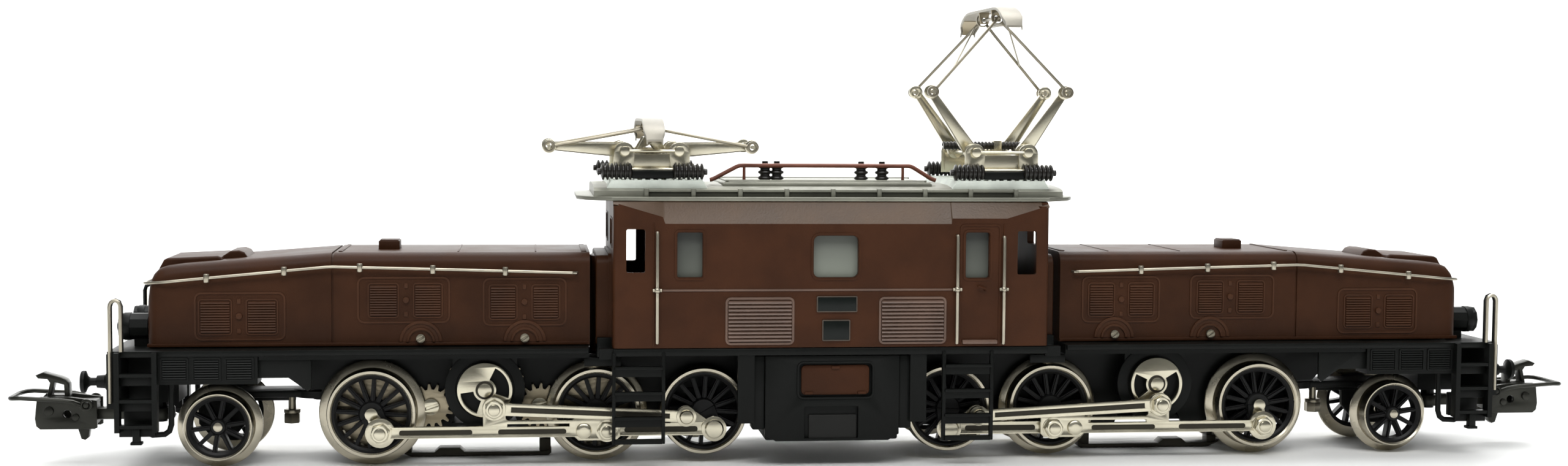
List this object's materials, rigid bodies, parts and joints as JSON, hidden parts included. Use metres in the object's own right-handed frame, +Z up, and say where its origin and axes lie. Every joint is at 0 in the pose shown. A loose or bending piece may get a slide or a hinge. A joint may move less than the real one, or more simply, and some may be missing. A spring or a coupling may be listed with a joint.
{
  "type": "model electric locomotive",
  "caption": "Articulated 1:87 model electric locomotive: cab section on two rod-driven bogies with hoods, pilot wheels, couplings and folding pantographs.",
  "frame": {"origin": "on the plane the wheel flanges stand on, under the middle of the cab", "axes": "+X along the track towards the end with the raised pantograph, +Y to the far side, +Z up"},
  "size_m": [0.255, 0.0348, 0.0726],
  "materials": {
    "body_brown": "satin",
    "roof_silver": "satin",
    "frosted_glass": "frosted",
    "frame_black": "satin",
    "wheel_steel": "turned",
    "busbar_copper": "satin",
    "coupler_bronze": "blackened",
    "nickel": "nickel plated"
  },
  "bodies": {
    "body": {"cab_body": "body_brown", "cab_roof": "roof_silver", "cab_glazing": "frosted_glass", "reversing_unit": "nickel", "centre_frame": "frame_black", "equipment_box": "frame_black", "roof_busbar": "busbar_copper", "panto_base_left": "nickel", "panto_base_right": "nickel"},
    "bogie_left": {"bogie_frame_left": "frame_black", "hood_left": "body_brown", "hood_handrail_left": "nickel", "buffer_near_left": "frame_black", "buffer_far_left": "frame_black", "motor_field": "wheel_steel"},
    "driver_outer_left": {"driver_outer_left": "wheel_steel"},
    "driver_middle_left": {"driver_middle_left": "wheel_steel"},
    "driver_inner_left": {"driver_inner_left": "wheel_steel"},
    "jackshaft_left": {"jackshaft_left": "nickel"},
    "front_rod_near_left": {"front_rod_near_left": "nickel"},
    "rear_rod_near_left": {"rear_rod_near_left": "nickel"},
    "front_rod_far_left": {"front_rod_far_left": "nickel"},
    "rear_rod_far_left": {"rear_rod_far_left": "nickel"},
    "pilot_truck_left": {"pilot_truck_left": "frame_black"},
    "pilot_wheels_left": {"pilot_wheels_left": "wheel_steel"},
    "coupler_left": {"coupler_left": "coupler_bronze"},
    "coupler_loop_left": {"coupler_loop_left": "coupler_bronze"},
    "pickup_shoe_left": {"pickup_shoe_left": "wheel_steel"},
    "panto_lower_a_left": {"panto_lower_a_left": "nickel"},
    "panto_upper_a_left": {"panto_upper_a_left": "nickel"},
    "panto_lower_b_left": {"panto_lower_b_left": "nickel"},
    "panto_upper_b_left": {"panto_upper_b_left": "nickel"},
    "panto_head_left": {"panto_head_left": "nickel"},
    "bogie_right": {"bogie_frame_right": "frame_black", "hood_right": "body_brown", "hood_handrail_right": "nickel", "buffer_near_right": "frame_black", "buffer_far_right": "frame_black"},
    "driver_outer_right": {"driver_outer_right": "wheel_steel"},
    "driver_middle_right": {"driver_middle_right": "wheel_steel"},
    "driver_inner_right": {"driver_inner_right": "wheel_steel"},
    "jackshaft_right": {"jackshaft_right": "nickel"},
    "front_rod_near_right": {"front_rod_near_right": "nickel"},
    "rear_rod_near_right": {"rear_rod_near_right": "nickel"},
    "front_rod_far_right": {"front_rod_far_right": "nickel"},
    "rear_rod_far_right": {"rear_rod_far_right": "nickel"},
    "pilot_truck_right": {"pilot_truck_right": "frame_black"},
    "pilot_wheels_right": {"pilot_wheels_right": "wheel_steel"},
    "coupler_right": {"coupler_right": "coupler_bronze"},
    "coupler_loop_right": {"coupler_loop_right": "coupler_bronze"},
    "pickup_shoe_right": {"pickup_shoe_right": "wheel_steel"},
    "panto_lower_a_right": {"panto_lower_a_right": "nickel"},
    "panto_upper_a_right": {"panto_upper_a_right": "nickel"},
    "panto_lower_b_right": {"panto_lower_b_right": "nickel"},
    "panto_upper_b_right": {"panto_upper_b_right": "nickel"},
    "panto_head_right": {"panto_head_right": "nickel"},
    "idler_gear_outer": {"idler_gear_outer": "nickel"},
    "idler_gear_middle": {"idler_gear_middle": "nickel"},
    "motor_armature": {"motor_armature": "busbar_copper"}
  },
  "joints": [
    {"name": "bogie_yaw_left", "type": "hinge", "parent": "body", "child": "bogie_left", "pos_m": [-0.028, 0, 0.016], "axis": [0, 0, 1], "range_deg": [-5, 5]},
    {"name": "driver_outer_spin_left", "type": "hinge", "parent": "bogie_left", "child": "driver_outer_left", "pos_m": [-0.07145, 0, 0.00825], "axis": [0, 1, 0], "continuous": true},
    {"name": "driver_middle_spin_left", "type": "hinge", "parent": "bogie_left", "child": "driver_middle_left", "pos_m": [-0.03655, 0, 0.00825], "axis": [0, 1, 0], "continuous": true},
    {"name": "driver_inner_spin_left", "type": "hinge", "parent": "bogie_left", "child": "driver_inner_left", "pos_m": [-0.0197, 0, 0.00825], "axis": [0, 1, 0], "continuous": true},
    {"name": "jackshaft_spin_left", "type": "hinge", "parent": "bogie_left", "child": "jackshaft_left", "pos_m": [-0.054, 0, 0.01195], "axis": [0, 1, 0], "continuous": true},
    {"name": "front_rod_pin_near_left", "type": "hinge", "parent": "driver_outer_left", "child": "front_rod_near_left", "pos_m": [-0.06995, -0.01215, 0.00565], "axis": [0, 1, 0], "continuous": true},
    {"name": "rear_rod_pin_near_left", "type": "hinge", "parent": "driver_inner_left", "child": "rear_rod_near_left", "pos_m": [-0.0182, -0.01125, 0.00565], "axis": [0, 1, 0], "continuous": true},
    {"name": "front_rod_pin_far_left", "type": "hinge", "parent": "driver_outer_left", "child": "front_rod_far_left", "pos_m": [-0.06885, 0.01215, 0.00975], "axis": [0, 1, 0], "continuous": true},
    {"name": "rear_rod_pin_far_left", "type": "hinge", "parent": "driver_inner_left", "child": "rear_rod_far_left", "pos_m": [-0.0171, 0.01125, 0.00975], "axis": [0, 1, 0], "continuous": true},
    {"name": "pilot_swing_left", "type": "hinge", "parent": "bogie_left", "child": "pilot_truck_left", "pos_m": [-0.08, 0, 0.0106], "axis": [0, 0, 1], "range_deg": [-7, 7]},
    {"name": "pilot_spin_left", "type": "hinge", "parent": "pilot_truck_left", "child": "pilot_wheels_left", "pos_m": [-0.0947, 0, 0.0065], "axis": [0, 1, 0], "continuous": true},
    {"name": "coupler_swing_left", "type": "hinge", "parent": "bogie_left", "child": "coupler_left", "pos_m": [-0.105, 0, 0.0075], "axis": [0, 0, 1], "range_deg": [-8, 8]},
    {"name": "coupler_loop_lift_left", "type": "hinge", "parent": "coupler_left", "child": "coupler_loop_left", "pos_m": [-0.1156, 0, 0.0092], "axis": [0, 1, 0], "range_deg": [0, 25]},
    {"name": "pickup_slide_left", "type": "slide", "parent": "bogie_left", "child": "pickup_shoe_left", "axis": [0, 0, 1], "range_m": [0, 0.001], "stiffness_N_per_m": 40, "springref_m": -0.002},
    {"name": "panto_left_lower_a", "type": "hinge", "parent": "body", "child": "panto_lower_a_left", "pos_m": [-0.03225, 0, 0.0493], "axis": [0, 1, 0], "range_deg": [0, 52]},
    {"name": "panto_left_upper_a", "type": "hinge", "parent": "panto_lower_a_left", "child": "panto_upper_a_left", "pos_m": [-0.04403, 0, 0.04992], "axis": [0, 1, 0], "range_deg": [-88.03, 0]},
    {"name": "panto_left_lower_b", "type": "hinge", "parent": "body", "child": "panto_lower_b_left", "pos_m": [-0.02375, 0, 0.0493], "axis": [0, 1, 0], "range_deg": [-52.1, 0]},
    {"name": "panto_left_upper_b", "type": "hinge", "parent": "panto_lower_b_left", "child": "panto_upper_b_left", "pos_m": [-0.01197, 0, 0.04992], "axis": [0, 1, 0], "range_deg": [0, 88.03]},
    {"name": "panto_left_head", "type": "hinge", "parent": "panto_upper_a_left", "child": "panto_head_left", "pos_m": [-0.028, 0, 0.05285], "axis": [0, 1, 0], "range_deg": [0, 36.03]},
    {"name": "bogie_yaw_right", "type": "hinge", "parent": "body", "child": "bogie_right", "pos_m": [0.028, 0, 0.016], "axis": [0, 0, 1], "range_deg": [-5, 5]},
    {"name": "driver_outer_spin_right", "type": "hinge", "parent": "bogie_right", "child": "driver_outer_right", "pos_m": [0.07145, 0, 0.00825], "axis": [0, 1, 0], "continuous": true},
    {"name": "driver_middle_spin_right", "type": "hinge", "parent": "bogie_right", "child": "driver_middle_right", "pos_m": [0.03655, 0, 0.00825], "axis": [0, 1, 0], "continuous": true},
    {"name": "driver_inner_spin_right", "type": "hinge", "parent": "bogie_right", "child": "driver_inner_right", "pos_m": [0.0197, 0, 0.00825], "axis": [0, 1, 0], "continuous": true},
    {"name": "jackshaft_spin_right", "type": "hinge", "parent": "bogie_right", "child": "jackshaft_right", "pos_m": [0.054, 0, 0.01195], "axis": [0, 1, 0], "continuous": true},
    {"name": "front_rod_pin_near_right", "type": "hinge", "parent": "driver_outer_right", "child": "front_rod_near_right", "pos_m": [0.07129, -0.01215, 0.00525], "axis": [0, 1, 0], "continuous": true},
    {"name": "rear_rod_pin_near_right", "type": "hinge", "parent": "driver_inner_right", "child": "rear_rod_near_right", "pos_m": [0.01954, -0.01125, 0.00525], "axis": [0, 1, 0], "continuous": true},
    {"name": "front_rod_pin_far_right", "type": "hinge", "parent": "driver_outer_right", "child": "front_rod_far_right", "pos_m": [0.07445, 0.01215, 0.00809], "axis": [0, 1, 0], "continuous": true},
    {"name": "rear_rod_pin_far_right", "type": "hinge", "parent": "driver_inner_right", "child": "rear_rod_far_right", "pos_m": [0.0227, 0.01125, 0.00809], "axis": [0, 1, 0], "continuous": true},
    {"name": "pilot_swing_right", "type": "hinge", "parent": "bogie_right", "child": "pilot_truck_right", "pos_m": [0.08, 0, 0.0106], "axis": [0, 0, 1], "range_deg": [-7, 7]},
    {"name": "pilot_spin_right", "type": "hinge", "parent": "pilot_truck_right", "child": "pilot_wheels_right", "pos_m": [0.0947, 0, 0.0065], "axis": [0, 1, 0], "continuous": true},
    {"name": "coupler_swing_right", "type": "hinge", "parent": "bogie_right", "child": "coupler_right", "pos_m": [0.105, 0, 0.0075], "axis": [0, 0, 1], "range_deg": [-8, 8]},
    {"name": "coupler_loop_lift_right", "type": "hinge", "parent": "coupler_right", "child": "coupler_loop_right", "pos_m": [0.1156, 0, 0.0092], "axis": [0, -1, 0], "range_deg": [0, 25]},
    {"name": "pickup_slide_right", "type": "slide", "parent": "bogie_right", "child": "pickup_shoe_right", "axis": [0, 0, 1], "range_m": [0, 0.001], "stiffness_N_per_m": 40, "springref_m": -0.002},
    {"name": "panto_right_lower_a", "type": "hinge", "parent": "body", "child": "panto_lower_a_right", "pos_m": [0.02375, 0, 0.0493], "axis": [0, 1, 0], "range_deg": [-52, 0], "stiffness_Nm_per_rad": 0.0002, "springref_deg": 57.3},
    {"name": "panto_right_upper_a", "type": "hinge", "parent": "panto_lower_a_right", "child": "panto_upper_a_right", "pos_m": [0.01698, 0, 0.05897], "axis": [0, 1, 0], "range_deg": [0, 91.92]},
    {"name": "panto_right_lower_b", "type": "hinge", "parent": "body", "child": "panto_lower_b_right", "pos_m": [0.03225, 0, 0.0493], "axis": [0, 1, 0], "range_deg": [0, 52.1]},
    {"name": "panto_right_upper_b", "type": "hinge", "parent": "panto_lower_b_right", "child": "panto_upper_b_right", "pos_m": [0.03902, 0, 0.05897], "axis": [0, 1, 0], "range_deg": [-91.92, 0]},
    {"name": "panto_right_head", "type": "hinge", "parent": "panto_upper_a_right", "child": "panto_head_right", "pos_m": [0.028, 0, 0.07098], "axis": [0, 1, 0], "range_deg": [-39.92, 0]},
    {"name": "idler_outer_spin", "type": "hinge", "parent": "bogie_left", "child": "idler_gear_outer", "pos_m": [-0.06248, -0.0063, 0.00892], "axis": [0, 1, 0], "continuous": true},
    {"name": "idler_middle_spin", "type": "hinge", "parent": "bogie_left", "child": "idler_gear_middle", "pos_m": [-0.04552, -0.0063, 0.00892], "axis": [0, 1, 0], "continuous": true},
    {"name": "armature_spin", "type": "hinge", "parent": "bogie_left", "child": "motor_armature", "pos_m": [-0.054, 0, 0.01975], "axis": [0, 1, 0], "continuous": true}
  ],
  "couplings": [
    {"joint": "driver_middle_spin_left", "follows": "driver_outer_spin_left", "ratio": 1},
    {"joint": "driver_inner_spin_left", "follows": "driver_outer_spin_left", "ratio": 1},
    {"joint": "jackshaft_spin_left", "follows": "driver_outer_spin_left", "ratio": 1},
    {"joint": "front_rod_pin_near_left", "follows": "driver_outer_spin_left", "ratio": -1},
    {"joint": "rear_rod_pin_near_left", "follows": "driver_outer_spin_left", "ratio": -1},
    {"joint": "front_rod_pin_far_left", "follows": "driver_outer_spin_left", "ratio": -1},
    {"joint": "rear_rod_pin_far_left", "follows": "driver_outer_spin_left", "ratio": -1},
    {"joint": "panto_left_upper_a", "follows": "panto_left_lower_a", "ratio": -1.691},
    {"joint": "panto_left_lower_b", "follows": "panto_left_lower_a", "ratio": -1},
    {"joint": "panto_left_upper_b", "follows": "panto_left_lower_a", "ratio": 1.691},
    {"joint": "panto_left_head", "follows": "panto_left_lower_a", "ratio": 0.691},
    {"joint": "driver_middle_spin_right", "follows": "driver_outer_spin_right", "ratio": 1},
    {"joint": "driver_inner_spin_right", "follows": "driver_outer_spin_right", "ratio": 1},
    {"joint": "jackshaft_spin_right", "follows": "driver_outer_spin_right", "ratio": 1},
    {"joint": "front_rod_pin_near_right", "follows": "driver_outer_spin_right", "ratio": -1},
    {"joint": "rear_rod_pin_near_right", "follows": "driver_outer_spin_right", "ratio": -1},
    {"joint": "front_rod_pin_far_right", "follows": "driver_outer_spin_right", "ratio": -1},
    {"joint": "rear_rod_pin_far_right", "follows": "driver_outer_spin_right", "ratio": -1},
    {"joint": "panto_right_upper_a", "follows": "panto_right_lower_a", "ratio": -1.7658},
    {"joint": "panto_right_lower_b", "follows": "panto_right_lower_a", "ratio": -1},
    {"joint": "panto_right_upper_b", "follows": "panto_right_lower_a", "ratio": 1.7658},
    {"joint": "panto_right_head", "follows": "panto_right_lower_a", "ratio": 0.7658},
    {"joint": "idler_outer_spin", "follows": "driver_outer_spin_left", "ratio": -1.8125},
    {"joint": "idler_middle_spin", "follows": "driver_outer_spin_left", "ratio": -1.8125},
    {"joint": "armature_spin", "follows": "driver_outer_spin_left", "ratio": -2.9}
  ]
}
